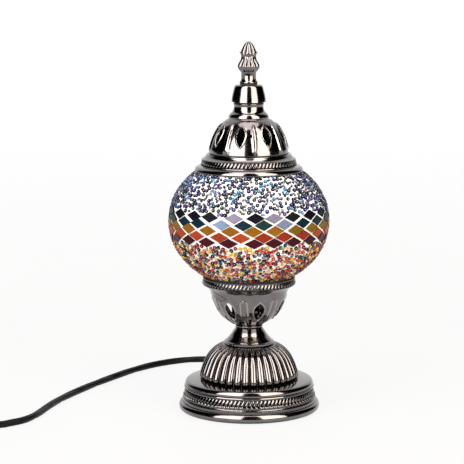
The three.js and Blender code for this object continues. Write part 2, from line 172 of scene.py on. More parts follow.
def gloss(tree, principled, value, low, high):
    tree.links.new(between(tree, value, low, high), principled.inputs["Roughness"])


def roughen(tree, principled, value, depth, strength=1.0):
    bump = addNode(tree, "Bump", {"Distance": depth * millimetre, "Strength": strength}, {"Height": value})
    tree.links.new(bump.outputs["Normal"], principled.inputs["Normal"])


# Back-lit acrylic board: matt white and even, a little brighter far from the lamp, where the softboxes reach
# less. In the metal's reflections it stops a metre in front of the lamp, where the room is dark.
whiteBoard, tree, principled = shader("backlitAcrylicBoard", Roughness=0.8, Specular_IOR_Level=0.1)
place = addNode(tree, "TexCoord")
far = addNode(tree, "VectorMath", {"operation": "LENGTH"}, {0: place.outputs["Object"]})
glow = between(tree, far.outputs["Value"], 0, 1, 0.35, 3)
cloud = between(tree, spots(tree, 260, 2), 0, 1)
tint(tree, principled, cloud, "#3c3c3c", "#404040")
shine = mixed(tree, glow, "#efefef", "#fdfdfd")
axes = addNode(tree, "SeparateXYZ", links={"Vector": place.outputs["Object"]})
front = between(tree, axes.outputs["Y"], 0.02, 1, -1.1, -0.9)
cameraRay = addNode(tree, "LightPath").outputs["Is Camera Ray"]
bright = addNode(tree, "Math", {"operation": "MAXIMUM"}, {0: front, 1: cameraRay})
tree.links.new(shine, principled.inputs["Emission Color"])
tree.links.new(bright.outputs[0], principled.inputs["Emission Strength"])

floorMesh = bmesh.new()
bmesh.ops.create_grid(floorMesh, x_segments=8, y_segments=8, size=14)
mesh = bpy.data.meshes.new("studio_floor")
floorMesh.to_mesh(mesh)
floorMesh.free()
mesh.materials.append(whiteBoard)
floor = bpy.data.objects.new("studio_floor", mesh)
bpy.context.scene.collection.objects.link(floor)
print("camera, floor and lights made")

# Black nickel plate on spun and polished steel: a dark warm mirror, with soft clouds where it was buffed,
# painted shade, with some dull grime, in the grooves and hollows that ambient occlusion finds, and a painted
# highlight along raised edges.
blackNickel, tree, principled = shader("polishedBlackNickel", Metallic=1.0)
buffed = between(tree, spots(tree, 11, 3), 0, 1)
face = mixed(tree, buffed, "#706c6c", "#7d7979")
# Ambient occlusion darkens the plate in grooves and hollows: painted shade, partly standing for grime.
hollow = addNode(tree, "AmbientOcclusion", {"samples": 6, "Distance": 3.5 * millimetre})
shade = between(tree, hollow.outputs["AO"], 0, 1, 0.3, 0.85)
# A lighter colour along raised rims and flute edges, from the mesh's layer: a painted highlight.
rimHighlight = addNode(tree, "Attribute", {"attribute_name": "wearAndHighlight"})
shadedPlate = mixed(tree, shade, "#110f0e", face)
tree.links.new(mixed(tree, rimHighlight.outputs["Fac"], shadedPlate, "#b9b2ae"), principled.inputs["Base Color"])
smear = between(tree, spots(tree, 5, 4, 0.6), 0.08, 0.15)
dull = addNode(tree, "Mix", {"data_type": "FLOAT", 2: 0.42}, {0: shade, 3: smear}).outputs[0]
tree.links.new(dull, principled.inputs["Roughness"])
roughen(tree, principled, spots(tree, 7, 2), 0.1, 0.15)

# White cement grout, wiped while wet: chalky, with sand grains and pinholes.
grout, tree, principled = shader("wipedCementGrout", Roughness=0.85, Specular_IOR_Level=0.3)
sand = spots(tree, 0.7, 4, 0.65)
wiped = between(tree, spots(tree, 5, 3), 0, 1)
tint(tree, principled, wiped, "#ebe9e8", "#f6f4f2")
roughen(tree, principled, sand, 0.35, 0.7)

# Cut stained glass, fire-polished on its face and ground at its edges. Each chip carries its own colour.
chipGlass, tree, principled = shader("cutStainedGlass", IOR=1.5, Specular_IOR_Level=0.08)
own = addNode(tree, "Attribute", {"attribute_name": "chipColour"})
streak = between(tree, spots(tree, 2.2, 4, 0.6, 0.8), 0.42, 0.72)
streaked = addNode(tree, "VectorMath", {"operation": "SCALE"}, {0: own.outputs["Color"], "Scale": streak})
tree.links.new(streaked.outputs[0], principled.inputs["Base Color"])
gloss(tree, principled, spots(tree, 2.5, 3), 0.24, 0.42)
roughen(tree, principled, spots(tree, 3, 3), 0.3, 0.4)

# Pressed glass seed beads: small bright glints, each bead in its own colour.
seedGlass, tree, principled = shader("pressedSeedGlass", IOR=1.52, Specular_IOR_Level=0.14)
own = addNode(tree, "Attribute", {"attribute_name": "beadColour"})
clouded = between(tree, spots(tree, 1.2, 3), 0.6, 1.1)
tinted = addNode(tree, "VectorMath", {"operation": "SCALE"}, {0: own.outputs["Color"], "Scale": clouded})
tree.links.new(tinted.outputs[0], principled.inputs["Base Color"])
gloss(tree, principled, spots(tree, 1.5, 2), 0.25, 0.4)
roughen(tree, principled, spots(tree, 0.8, 2), 0.08, 0.3)

# Flexible PVC, extruded over its cores: black and satin, with the faint drag lines of the die.
cordVinyl, tree, principled = shader("extrudedFlexibleVinyl", Specular_IOR_Level=0.12, IOR=1.53)
wearAndHighlight = between(tree, spots(tree, 14, 4), 0, 1)
tint(tree, principled, wearAndHighlight, "#030304", "#080809")
gloss(tree, principled, spots(tree, 3, 3), 0.34, 0.5)
roughen(tree, principled, spots(tree, 1.1, 3), 0.06, 0.4)

# Phenolic, pressed in a hot mould: near black and glossy, a little mottled by its filler.
phenolic, tree, principled = shader("pressedPhenolic", IOR=1.6)
mottle = between(tree, spots(tree, 3, 4), 0, 1)
tint(tree, principled, mottle, "#131114", "#211c1b")
gloss(tree, principled, spots(tree, 1.6, 3), 0.22, 0.4)
roughen(tree, principled, spots(tree, 0.8, 2), 0.04, 0.3)

# Moulded rubber: dull, charcoal, with a bloom of fine dust.
rubber, tree, principled = shader("mouldedRubber", Roughness=0.7, IOR=1.5)
bloom = between(tree, spots(tree, 4, 4), 0, 1)
tint(tree, principled, bloom, "#161616", "#262524")
roughen(tree, principled, spots(tree, 0.9, 3), 0.08, 0.4)

# Bright zinc plate on pressed steel: grey, a little blue, with a fine spangle.
zincSteel, tree, principled = shader("zincPlatedSteel", Metallic=1.0)
spangle = between(tree, spots(tree, 2.4, 3), 0, 1)
tint(tree, principled, spangle, "#9a9da0", "#b9bcbe")
gloss(tree, principled, spots(tree, 1.6, 3), 0.26, 0.42)
roughen(tree, principled, spots(tree, 1.2, 2), 0.05, 0.3)

# Drawn brass, lightly tarnished by handling.
brass, tree, principled = shader("drawnBrass", Metallic=1.0)
tarnish = between(tree, spots(tree, 3, 4), 0, 1)
tint(tree, principled, tarnish, "#a5823a", "#c9a659")
gloss(tree, principled, spots(tree, 1.5, 3), 0.22, 0.4)
roughen(tree, principled, spots(tree, 1, 2), 0.04, 0.3)

# Sand-cast iron: dark, matt and pitted by the mould.
castIron, tree, principled = shader("sandCastIron", Metallic=0.8)
scale = between(tree, spots(tree, 2.5, 4), 0, 1)
tint(tree, principled, scale, "#2b2a2a", "#474442")
gloss(tree, principled, spots(tree, 1.5, 3), 0.6, 0.85)
roughen(tree, principled, spots(tree, 1.1, 4, 0.7), 0.4, 0.8)

# Pressed wool felt: dark green-grey, with fibres too fine to show drawn as 0.6 mm tufts.
felt, tree, principled = shader("pressedWoolFelt", Roughness=0.95, Sheen_Weight=0.35, Specular_IOR_Level=0.1)
tuft = spots(tree, 0.6, 4, 0.75)
tint(tree, principled, between(tree, tuft, 0, 1), "#20231f", "#383c35")
roughen(tree, principled, tuft, 0.4, 0.8)

# Vulcanised fibre, stamped: black, with a papery surface.
fibre, tree, principled = shader("stampedVulcanisedFibre", Roughness=0.6)
paper = between(tree, spots(tree, 1.2, 4), 0, 1)
tint(tree, principled, paper, "#17120f", "#2a221d")
roughen(tree, principled, spots(tree, 0.8, 3), 0.1, 0.5)

# Blown soda glass of the globe, clear, under the mosaic: a faint green body with a little ream.
globeGlass, tree, principled = shader("blownSodaGlass", IOR=1.52, Transmission_Weight=0.85)
ream = between(tree, spots(tree, 18, 2), 0, 1)
tint(tree, principled, ream, "#dfe8e4", "#edf3f0")
gloss(tree, principled, spots(tree, 9, 2), 0.04, 0.12)
roughen(tree, principled, spots(tree, 12, 1), 0.1, 0.3)

# Blown glass of the light bulb, frosted inside with a pale wash.
bulbGlass, tree, principled = shader("frostedBulbGlass", IOR=1.5, Transmission_Weight=0.5)
wash = between(tree, spots(tree, 6, 3), 0, 1)
tint(tree, principled, wash, "#e9e7e0", "#f5f3ee")
gloss(tree, principled, spots(tree, 4, 2), 0.3, 0.42)
print("finishes made")


# A smooth line through a few points, cut into a number of even steps.
def flowing(points, count):
    line = np.array(points, float)
    ends = np.vstack([2 * line[0] - line[1], line, 2 * line[-1] - line[-2]])
    knots = np.concatenate([[0], np.cumsum(np.linalg.norm(np.diff(line, axis=0), axis=1) ** 0.5)])
    wanted = np.linspace(0, knots[-1], count + 1)
    first = 2 * knots[0] - knots[1]
    last = 2 * knots[-1] - knots[-2]
    times = np.concatenate([[first], knots, [last]])
    made = []
    for t in wanted:
        i = int(min(max(np.searchsorted(knots, t, "right"), 1), len(knots) - 1))
        t0, t1, t2, t3 = times[i - 1:i + 3]
        p0, p1, p2, p3 = ends[i - 1:i + 3]
        a = (t1 - t) / (t1 - t0) * p0 + (t - t0) / (t1 - t0) * p1
        b = (t2 - t) / (t2 - t1) * p1 + (t - t1) / (t2 - t1) * p2
        c = (t3 - t) / (t3 - t2) * p2 + (t - t2) / (t3 - t2) * p3
        d = (t2 - t) / (t2 - t0) * a + (t - t0) / (t2 - t0) * b
        e = (t3 - t) / (t3 - t1) * b + (t - t1) / (t3 - t1) * c
        made.append(tuple((t2 - t) / (t2 - t1) * d + (t - t1) / (t2 - t1) * e))
    return made


# A closed section, turned about the lamp's axis.
def turn(bm, section, steps):
    corners = [bm.verts.new((r, 0, z)) for r, z in section]
    sides = [bm.edges.new((corners[i - 1], corners[i])) for i in range(len(corners))]
    bmesh.ops.spin(bm, geom=corners + sides, cent=(0, 0, 0), axis=(0, 0, 1), dvec=(0, 0, 0),
                   angle=2 * math.pi, steps=steps, use_merge=True, use_duplicate=False)
    bmesh.ops.remove_doubles(bm, verts=bm.verts, dist=1e-4)


def tip(bm, verts, degrees, axis):
    bmesh.ops.rotate(bm, cent=(0, 0, 0), matrix=Matrix.Rotation(math.radians(degrees), 3, axis), verts=verts)


# Rounds edges over.
def ease(bm, edges, width):
    return bmesh.ops.bevel(bm, geom=edges, offset=width, offset_type="OFFSET", affect="EDGES", segments=2,
                           profile=0.5, material=-1)["faces"]


def withSides(verts):
    edges = {edge for vert in verts for edge in vert.link_edges}
    faces = {face for vert in verts for face in vert.link_faces}
    return list(verts) + list(edges) + list(faces)


# Copies of a shape, evenly round the lamp's axis.
def ringOf(bm, shape, count):
    bmesh.ops.spin(bm, geom=shape, cent=(0, 0, 0), axis=(0, 0, 1), dvec=(0, 0, 0), steps=count - 1,
                   angle=2 * math.pi * (count - 1) / count, use_merge=False, use_duplicate=True)


# A ring of small rounded bumps half sunk in a band. Size is (across the wall, along the band, up).
def bumps(bm, radius, z, count, size, slant):
    made = bmesh.ops.create_uvsphere(bm, u_segments=8, v_segments=6, radius=0.5)["verts"]
    bmesh.ops.scale(bm, vec=size, verts=made)
    tip(bm, made, slant, "X")
    bmesh.ops.translate(bm, vec=(radius, 0, z), verts=made)
    ringOf(bm, withSides(made), count)


# A ring of small slanting bars with eased edges, as a knurling wheel leaves them.
def bars(bm, radius, z, count, size, slant, lean, eased=0.35):
    made = bmesh.ops.create_cube(bm, size=1)["verts"]
    bmesh.ops.scale(bm, vec=size, verts=made)
    faces = ease(bm, list({edge for vert in made for edge in vert.link_edges}), eased)
    made = list({vert for face in faces for vert in face.verts} | {vert for vert in made if vert.is_valid})
    tip(bm, made, slant, "X")
    tip(bm, made, lean, "Y")
    bmesh.ops.translate(bm, vec=(radius, 0, z), verts=made)
    ringOf(bm, withSides(made), count)


# Brings a piece to metres, shades it, puts it on its body and hides the CAD nodes that it stands for.
def finishPiece(name, bm, body, material, replaced=(), crease=38):
    bmesh.ops.scale(bm, vec=(millimetre,) * 3, verts=bm.verts)
    bmesh.ops.recalc_face_normals(bm, faces=bm.faces)
    for face in bm.faces:
        face.smooth = True
    for edge in bm.edges:
        if len(edge.link_faces) == 2 and edge.calc_face_angle() > math.radians(crease):
            edge.smooth = False
    mesh = bpy.data.meshes.new(name)
    bm.to_mesh(mesh)
    bm.free()
    mesh.materials.append(material)
    piece = bpy.data.objects.new(name, mesh)
    bpy.context.scene.collection.objects.link(piece)
    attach(piece, body)
    if replaced:
        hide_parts(*replaced)
    print("made", name, len(mesh.polygons), "faces")
    return piece


# Foot: a rounded ring on the table, a stepped cove, a beaded edge, a knurled band and a shallow top.
foot = {
    "steps": 180,
    "knurls": {"radius": 51.7, "z": 15.9, "count": 98, "size": (2.4, 1.9, 4.9), "slant": -30, "lean": -14},
    "beads": {"radius": 53.1, "z": 12.4, "count": 90, "size": (2.0, 2.2, 3.4), "slant": 40},
}
ring = [(52.7, 0.4), (54.3, 0.4), (55.8, 0.9), (56.9, 1.8), (57.4, 2.9), (57.5, 3.8), (57.3, 5.0),
        (56.9, 6.0), (56.4, 6.8), (55.8, 7.4)]
cove = [(55.4, 7.5), (54.6, 7.6), (54.4, 7.8), (54.4, 8.8), (54.7, 9.0), (54.8, 9.4), (54.7, 9.8),
        (54.3, 10.0), (53.5, 10.2), (53.2, 10.6), (53.2, 11.3)]
edgeBand = [(53.2, 11.6), (53.2, 12.6), (53.0, 13.1), (51.7, 13.3), (51.4, 13.6), (51.2, 16), (51.3, 18.1)]
bead = [(52.2, 18.6), (52.3, 18.9), (52.9, 19.2), (53.1, 19.7), (52.9, 20.3), (52.4, 20.6), (52.0, 20.7),
        (52.0, 20.9)]
wallTop = flowing([(52.4, 21.1), (52.3, 22.4), (51.9, 23.6), (51.2, 24.6), (50.4, 25.1)], 12)
wallTop += [(49.8, 25.2), (46, 25.6), (40.4, 26.3), (36, 26.3)]
under = [(36, 25), (49.4, 23.6), (50.8, 19), (50.9, 16), (51.2, 12), (52.4, 9), (55.2, 7), (55.8, 4.2),
         (52.7, 2.2)]
bm = bmesh.new()
turn(bm, ring + cove + edgeBand + bead + wallTop + under, foot["steps"])
bars(bm, **foot["knurls"])
bumps(bm, **foot["beads"])
finishPiece("foot", bm, "base", blackNickel, ["base_foot"])


# Reeded dome: a turned shell pressed into round reeds, with a narrow groove between each two. On the wall the
# grooves go straight in, and over the shoulder they turn downwards.
reeds = {"count": 36, "columns": 12, "depth": 0.092, "fadeFrom": 20.6, "fadeOver": 3, "shoulder": 50,
         "shoulderFall": 14, "crownInward": 0.35, "crownDown": 1.1}
wall = flowing([(38.6, 26.9), (40.2, 28.2), (40.3, 29.6), (39.6, 32.5), (37.6, 38), (36.1, 41.4),
                (34.5, 44.6), (32.3, 47.6), (29.2, 50.7), (24.6, 53.5), (20, 54.6)], 44)
lining = flowing([(20, 52.5), (27.6, 49.4), (32.6, 43.8), (35.6, 37.4), (37.4, 31.8), (37.4, 26.9)], 10)
section = wall + [(6, 54.7), (6, 52.6)] + lining
bm = bmesh.new()
turn(bm, section, reeds["count"] * reeds["columns"])
for vert in bm.verts:
    x, y, z = vert.co
    radius = math.hypot(x, y)
    level = min((abs(z - height) + abs(radius - r), i) for i, (r, height) in enumerate(section))[1]
    if level < len(wall) and radius > reeds["fadeFrom"]:
        across = (math.atan2(y, x) / (2 * math.pi) * reeds["count"]) % 1 * 2 - 1
        sunk = reeds["depth"] * radius * (1 - math.sqrt(max(1 - across * across, 0)))
        sunk *= min((radius - reeds["fadeFrom"]) / reeds["fadeOver"], 1)
        onWall = min(max((reeds["shoulder"] - z) / reeds["shoulderFall"], 0), 1)
        inward = reeds["crownInward"] + (1 - reeds["crownInward"]) * onWall
        vert.co.x -= x / radius * sunk * inward
        vert.co.y -= y / radius * sunk * inward
        vert.co.z -= sunk * (1 - inward) * reeds["crownDown"]
finishPiece("reeded_dome", bm, "base", blackNickel, ["base_dome"], 50)


# Stem: a flared cone on the dome, and a bead between it and the cup.
bm = bmesh.new()
cone = [(16.4, 54.9), (19.9, 54.9), (20.4, 55.3), (20.4, 56.5), (20.0, 57), (19.0, 57.25)]
cone += flowing([(18.9, 57.4), (17.3, 59.3), (15.0, 62.0), (13.0, 65.0), (11.6, 67.0), (10.8, 68.2)], 16)
cone += [(5.4, 68.2), (5.4, 66.6), (9.6, 66.2), (12.6, 62), (15.6, 58)]
turn(bm, cone, 96)
finishPiece("stem_flare", bm, "base", blackNickel, ["stem_cone"])
bm = bmesh.new()
roundBead = [(10.4, 68.5), (10.9, 68.8), (11.2, 69.3), (11.2, 69.8), (10.9, 70.3), (10.4, 70.6)]
turn(bm, [(5.4, 68.5)] + roundBead + [(5.4, 70.6)], 72)
finishPiece("stem_bead", bm, "base", blackNickel, ["neck_ring"])


# Pierced shells, the cup and the cap. A sheet's line is measured along its length; one sector of it, with a
# pointed-leaf opening at its middle, is drawn flat as (turn, way along), rolled onto the sheet and copied
# round.
relief = {"slopeReach": 0.4, "flatTop": 5, "narrow": 1.2, "edgeInset": 0.4, "edgeBlur": 0.9, "rimInset": 0.3,
          "rimRound": 0.7}


def sheetFrom(line):
    points = np.array(line)
    along = np.concatenate([[0], np.cumsum(np.linalg.norm(np.diff(points, axis=0), axis=1))])
    return {"along": along, "radii": points[:, 0], "heights": points[:, 1]}


def sheetAt(sheet, v):
    return tuple(float(np.interp(v, sheet["along"], sheet[axis])) for axis in ("radii", "heights"))


def alongAt(sheet, z):
    return float(np.interp(z, sheet["heights"], sheet["along"]))


# The leaf's outline, from its top tip round by one side to its low tip and back by the other.
def leafOutline(sheet, shape):
    low, high, shoulder = (alongAt(sheet, shape[key]) for key in ("leafLow", "leafHigh", "leafShoulder"))
    perSide = shape["perSide"]
    outline = []
    for k in range(4 * perSide):
        quarter, part = divmod(k, perSide)
        share = part / perSide if quarter in (0, 2) else 1 - part / perSide
        pointed = high if quarter in (0, 3) else low
        v = pointed + (shoulder - pointed) * share
        width = shape["leafWidth"] / 2 * (1 - (1 - share) ** shape["leafBelly"])
        outline.append(((1 if quarter < 2 else -1) * width / sheetAt(sheet, v)[0], v))
    return outline


# The sector's border, with one point for each point of the leaf.
def sectorBorder(half, bottom, top, perSide):
    middle, rise = (bottom + top) / 2, (top - bottom) / 2
    border = []
    for k in range(4 * perSide):
        side, part = divmod((k + perSide / 2) % (4 * perSide), perSide)
        s = part / perSide * 2 - 1
        sides = [(s * half, top), (half, middle - s * rise), (-s * half, bottom), (-half, middle + s * rise)]
        border.append(sides[int(side)])
    return border


# The plain sheet below or above the leaves, one sector wide.
def addPlainSheet(bm, half, start, end, shape):
    columns = shape["perSide"]
    rows = max(int((end - start) / shape["rowHeight"]), 2)
    grid = [[bm.verts.new((-half + 2 * half * i / columns, start + (end - start) * j / rows, 0))
             for i in range(columns + 1)] for j in range(rows + 1)]
    for j in range(rows):
        for i in range(columns):
            bm.faces.new((grid[j][i], grid[j][i + 1], grid[j + 1][i + 1], grid[j + 1][i]))


# Rolls the flat sector onto the sheet, with a raised flute on its seams and a raised rim round its leaf, and
# marks the flute's edges and the rim for a painted highlight.
def layOnSheet(bm, sheet, half, fromLeaf, wearAndHighlight, shape):
    end = sheet["along"][-1]
    facing = math.radians(shape["firstOpening"]) - math.pi / 2
    for vert in bm.verts:
        angle, v = vert.co.x, vert.co.y
        r, z = sheetAt(sheet, v)
        rAhead, zAhead = sheetAt(sheet, min(v + relief["slopeReach"], end))
        rBehind, zBehind = sheetAt(sheet, max(v - relief["slopeReach"], 0))
        dr, dz = rAhead - rBehind, zAhead - zBehind
        fromSeam = (half - abs(angle)) * r
        flute = shape["fluteWidth"](z) / 2
        away = fromLeaf.get(vert, shape["leafWidth"])
        raised = 0
        if flute > 0.05 and fromSeam < flute:
            raised = 1 - (fromSeam / flute) ** relief["flatTop"]
            raised *= shape["fluteHeight"] * min(flute / relief["narrow"], 1)
        if away < shape["rimWidth"]:
            crown = math.cos(math.pi / 2 * away / shape["rimWidth"]) ** relief["rimRound"]
            raised += shape["rimHeight"] * crown
        # The flute's edges and the leaf's rim are marked for a painted highlight in the metal's colour.
        fluteEdge = max(1 - abs(fromSeam - flute + relief["edgeInset"]) / relief["edgeBlur"], 0)
        rimEdge = max(1 - abs(away - relief["rimInset"]) / shape["rimWidth"], 0)
        vert[wearAndHighlight] = shape["edgeHighlight"] * max(fluteEdge if flute > relief["narrow"] / 2 else 0, rimEdge)
        r += raised * dz / math.hypot(dr, dz)
        z -= raised * dr / math.hypot(dr, dz)
        vert.co = (r * math.cos(angle + facing), r * math.sin(angle + facing), z)


def piercedShell(bm, line, shape):
    # A layer for the painted highlight along the rims and flute edges.
    wearAndHighlight = bm.verts.layers.float.new("wearAndHighlight")
    sheet = sheetFrom(line)
    half = math.pi / shape["openings"]
    bottom, top = alongAt(sheet, shape["bandLow"]), alongAt(sheet, shape["bandHigh"])
    outline = leafOutline(sheet, shape)
    border = sectorBorder(half, bottom, top, shape["perSide"])
    loops = []
    fromLeaf = {}
    for i in range(shape["rings"] + 1):
        share = (i / shape["rings"]) ** shape["ringCrowding"]
        loop = []
        for (a, b), (c, d) in zip(outline, border):
            vert = bm.verts.new((a + (c - a) * share, b + (d - b) * share, 0))
            fromLeaf[vert] = math.hypot((c - a) * sheetAt(sheet, b)[0], d - b) * share
            loop.append(vert)
        loops.append(loop)
    for near, far in zip(loops, loops[1:]):
        for k in range(len(near)):
            bm.faces.new((near[k - 1], near[k], far[k], far[k - 1]))
    addPlainSheet(bm, half, 0.0, bottom, shape)
    addPlainSheet(bm, half, top, sheet["along"][-1], shape)
    layOnSheet(bm, sheet, half, fromLeaf, wearAndHighlight, shape)
    ringOf(bm, bm.verts[:] + bm.edges[:] + bm.faces[:], shape["openings"])
    bmesh.ops.remove_doubles(bm, verts=bm.verts, dist=1e-3)
    bmesh.ops.recalc_face_normals(bm, faces=bm.faces)
    if sum(face.normal.dot(face.calc_center_median() * Vector((1, 1, 0))) for face in bm.faces) < 0:
        bmesh.ops.reverse_faces(bm, faces=bm.faces)
    bmesh.ops.solidify(bm, geom=bm.faces[:], thickness=shape["wall"])
    sharp = math.radians(60)
    rims = [edge for edge in bm.edges if len(edge.link_faces) == 2 and edge.calc_face_angle() > sharp]
    ease(bm, rims, shape["rimEase"])


# The cup's flutes widen upwards and end in a round arch.
def cupFlute(z):
    low, arch, high, wide = 72, 91.6, 94.8, 6.4
    if z < low or z > high:
        return 0
    arched = math.sqrt(max(1 - max((z - arch) / (high - arch), 0) ** 2, 0))
    return wide * min(1, 0.5 + (z - low) / 18) * arched


cup = {
    "openings": 7, "firstOpening": 17, "bandLow": 74.6, "bandHigh": 94.6,
    "leafLow": 76.4, "leafHigh": 92.6, "leafShoulder": 86.6, "leafWidth": 8.7, "leafBelly": 1.9,
    # The rims and flute edges carry a painted highlight, whose strength is set on the next line.
    "perSide": 16, "rings": 16, "ringCrowding": 1.35, "rowHeight": 0.8, "wall": 1.1, "edgeHighlight": 0.75,
    "fluteWidth": cupFlute, "fluteHeight": 0.6, "rimWidth": 1.0, "rimHeight": 0.45, "rimEase": 0.22,
}
lipKnurls = {"radius": 36.6, "z": 106.6, "count": 72, "size": (2.2, 1.8, 4.6), "slant": -28, "lean": -12}
bowl = [(5.4, 70.9), (10.8, 70.91)]
bowl += flowing([(11.2, 70.95), (13.7, 71.9), (16.3, 73.6), (21, 76.9), (23.9, 80.2), (26, 83.5),
                 (27.7, 86.8), (29, 90.2), (30.3, 93.5), (31.1, 96.8), (32.0, 99.0), (33.35, 100.9),
                 (36.0, 103.2)], 70)
lip = [(35.6, 103.0), (36.6, 103.1), (37.3, 103.7), (37.6, 104.1), (37.2, 104.3), (36.8, 104.5),
       (36.8, 108.8), (37.6, 109.1), (37.6, 109.5), (37.2, 109.8), (36.7, 109.8), (36.6, 109.4),
       (36.6, 105.7), (35.4, 104.4)]
bm = bmesh.new()
piercedShell(bm, bowl, cup)
turn(bm, lip, 144)
bars(bm, **lipKnurls)
finishPiece("pierced_cup", bm, "base", blackNickel, ["cup"])


# The cap's flutes are long narrow ovals.
def capFlute(z):
    middle, reach, wide = 223.5, 11.5, 4.2
    share = (z - middle) / reach
    return wide * math.sqrt(max(1 - share * share, 0)) if abs(share) < 1 else 0


cap = {
    "openings": 8, "firstOpening": -14, "bandLow": 214, "bandHigh": 235.6,
    "leafLow": 217.4, "leafHigh": 233.8, "leafShoulder": 227, "leafWidth": 7.3, "leafBelly": 1.9,
    # The rims and flute edges carry a painted highlight, whose strength is set on the next line.
    "perSide": 16, "rings": 16, "ringCrowding": 1.35, "rowHeight": 0.8, "wall": 1.1, "edgeHighlight": 0.5,
    "fluteWidth": capFlute, "fluteHeight": 0.9, "rimWidth": 0.9, "rimHeight": 0.5, "rimEase": 0.22,
}
dome = flowing([(31.9, 210.8), (31.5, 214.6), (30.7, 217.8), (29.75, 221), (28.5, 224.3), (26.9, 227.5),
                (25, 230.7), (22.5, 233.9), (18.9, 236.9), (17.0, 238.1)], 76)
dome += flowing([(16.3, 238.5), (16, 238.9), (16.1, 239.6), (15.9, 240.8), (15.3, 242), (14.4, 242.9)], 10)
dome += flowing([(13.7, 243.3), (13.2, 243.9), (12.6, 245.2), (12.1, 246.8), (11.8, 248.4),
                 (11.9, 249.4)], 12)
dome += flowing([(12.3, 249.7), (12.5, 250.2), (12.3, 250.8), (11.9, 251.1), (11.8, 252.5)], 8)
dome += [(11.8, 254.38), (3.3, 254.4)]
bm = bmesh.new()
piercedShell(bm, dome, cap)
finishPiece("pierced_cap", bm, "cap", blackNickel, ["cap_dome"])


# Cap skirt: a bead on the glass, a quarter round, a knurled band and a cove up to the dome.
skirtKnurls = {"radius": 37.0, "z": 203.9, "count": 74, "size": (2.4, 1.8, 4.6), "slant": -30, "lean": -12}
skirt = [(42.6, 197.3), (43.2, 196.75), (43.8, 196.75), (43.9, 197.1)]
skirt += flowing([(43.85, 197.3), (43.5, 198.4), (42.7, 199.5), (41.4, 200.4), (39.6, 200.8)], 14)
skirt += [(39.2, 201.0), (39.0, 201.5), (38.2, 201.6), (37.0, 201.7), (36.8, 202), (36.8, 205.7),
          (37.7, 206.0), (37.7, 206.5)]
skirt += flowing([(36.8, 206.9), (35.6, 207.7), (34.7, 208.8), (34.2, 209.6)], 8)
skirt += [(34.0, 209.8), (33.8, 210.2), (33.1, 210.4), (30.2, 210.4), (30.2, 209), (31.8, 208.6),
          (35.8, 205.3), (36.2, 201.6), (38.6, 198.9)]
bm = bmesh.new()
turn(bm, skirt, 160)
bars(bm, **skirtKnurls)
finishPiece("cap_skirt", bm, "cap", blackNickel, ["cap_rim"])


# Bell collar, thin-walled, under the finial.
bell = flowing([(13.95, 252), (13.75, 254), (13.4, 256.2), (12.9, 258.6), (12.2, 261.4), (11.5, 264),
                (11, 264.9), (10.2, 265.4)], 26)
bell += [(3.3, 265.4), (3.3, 264.2), (9.9, 264.2), (11.0, 261), (11.9, 257.6), (12.6, 254.6), (12.6, 252)]
bm = bmesh.new()
turn(bm, bell, 96)
finishPiece("bell_collar", bm, "cap", blackNickel, ["finial_collar"])


# Finial: a turned stem, a ribbed bulge, and a bud of petals over a ring of small ears, its leaf tips.
finial = {
    "columns": 120, "bore": 3.4, "boreTop": 281.5, "top": 300,
    "ribs": 10, "ribDepth": 0.17, "ribsLow": 276, "ribsHigh": 288.4, "ribBend": 0.22,
    "petals": 6, "petalDepth": 0.2, "petalsLow": 288.6,
    "ear": {"radius1": 1.3, "radius2": 0.4, "depth": 2.8}, "ears": [(50, 6.1, 290.9), (38, 5.9, 289.8)] * 4,
}
outline = [(7.2, 266.8), (7.44, 267.2), (7.4, 267.8), (6.9, 268.4), (6.2, 269.2), (6.05, 269.9),
           (6.03, 270.3), (6.0, 272.6), (6.0, 274.8), (6.05, 275.2)]
outline += flowing([(6.3, 275.9), (7.7, 277.2), (8.6, 278.8), (8.9, 280.4), (8.4, 282), (7.5, 283.9),
                    (6.75, 285.2), (6.3, 286.6), (6.1, 288.4)], 26)[1:]
outline += flowing([(6.25, 288.9), (6.6, 290), (6.5, 291.4), (5.9, 293.2), (5.0, 295.2), (4.2, 296.8),
                    (2.9, 298.5), (1.6, 299.5)], 24)
bm = bmesh.new()
turn(bm, outline + [(0.7, 299.9), (0.0, 300), (0, 281), (3.3, 281), (3.3, 266.8)], finial["columns"])
for vert in bm.verts:
    radius = math.hypot(vert.co.x, vert.co.y)
    z = vert.co.z
    if radius < 0.5 or (radius < finial["bore"] and z < finial["boreTop"]):
        continue
    angle = math.atan2(vert.co.y, vert.co.x) + math.pi / 2
    scale = 1
    if finial["ribsLow"] < z < finial["ribsHigh"]:
        share = (z - finial["ribsLow"]) / (finial["ribsHigh"] - finial["ribsLow"])
        bent = angle + finial["ribBend"] * math.sin(2 * angle) * share
        crest = abs(math.cos(finial["ribs"] / 2 * bent)) ** 0.7 - 0.75
        scale += finial["ribDepth"] * math.sin(math.pi * share) * crest
    if z > finial["petalsLow"]:
        swell = min((z - finial["petalsLow"]) / 3, 1) * (0.6 + 0.4 * min(max((finial["top"] - z) / 4, 0), 1))
        crest = abs(math.cos(finial["petals"] / 2 * angle)) ** 0.6 - 0.8
        scale += finial["petalDepth"] * swell * crest
    vert.co.x *= scale
    vert.co.y *= scale
for side, (slant, out, z) in enumerate(finial["ears"]):
    ear = bmesh.ops.create_cone(bm, cap_ends=True, segments=8, **finial["ear"])["verts"]
    bmesh.ops.scale(bm, vec=(0.8, 1.2, 1), verts=ear)
    tip(bm, ear, slant, "Y")
    bmesh.ops.translate(bm, vec=(out, 0, z), verts=ear)
    tip(bm, ear, 360 / len(finial["ears"]) * side, "Z")
finishPiece("leaf_finial", bm, "finial", blackNickel, ["finial"], 45)


# Mosaic: the glass globe is an ellipsoid cut off at both ends, with grout, tiles and beads on it.
globe = {"z": 155.8, "radius": 65.1, "half": 54, "groutSunk": 1.05, "skin": 2.2}


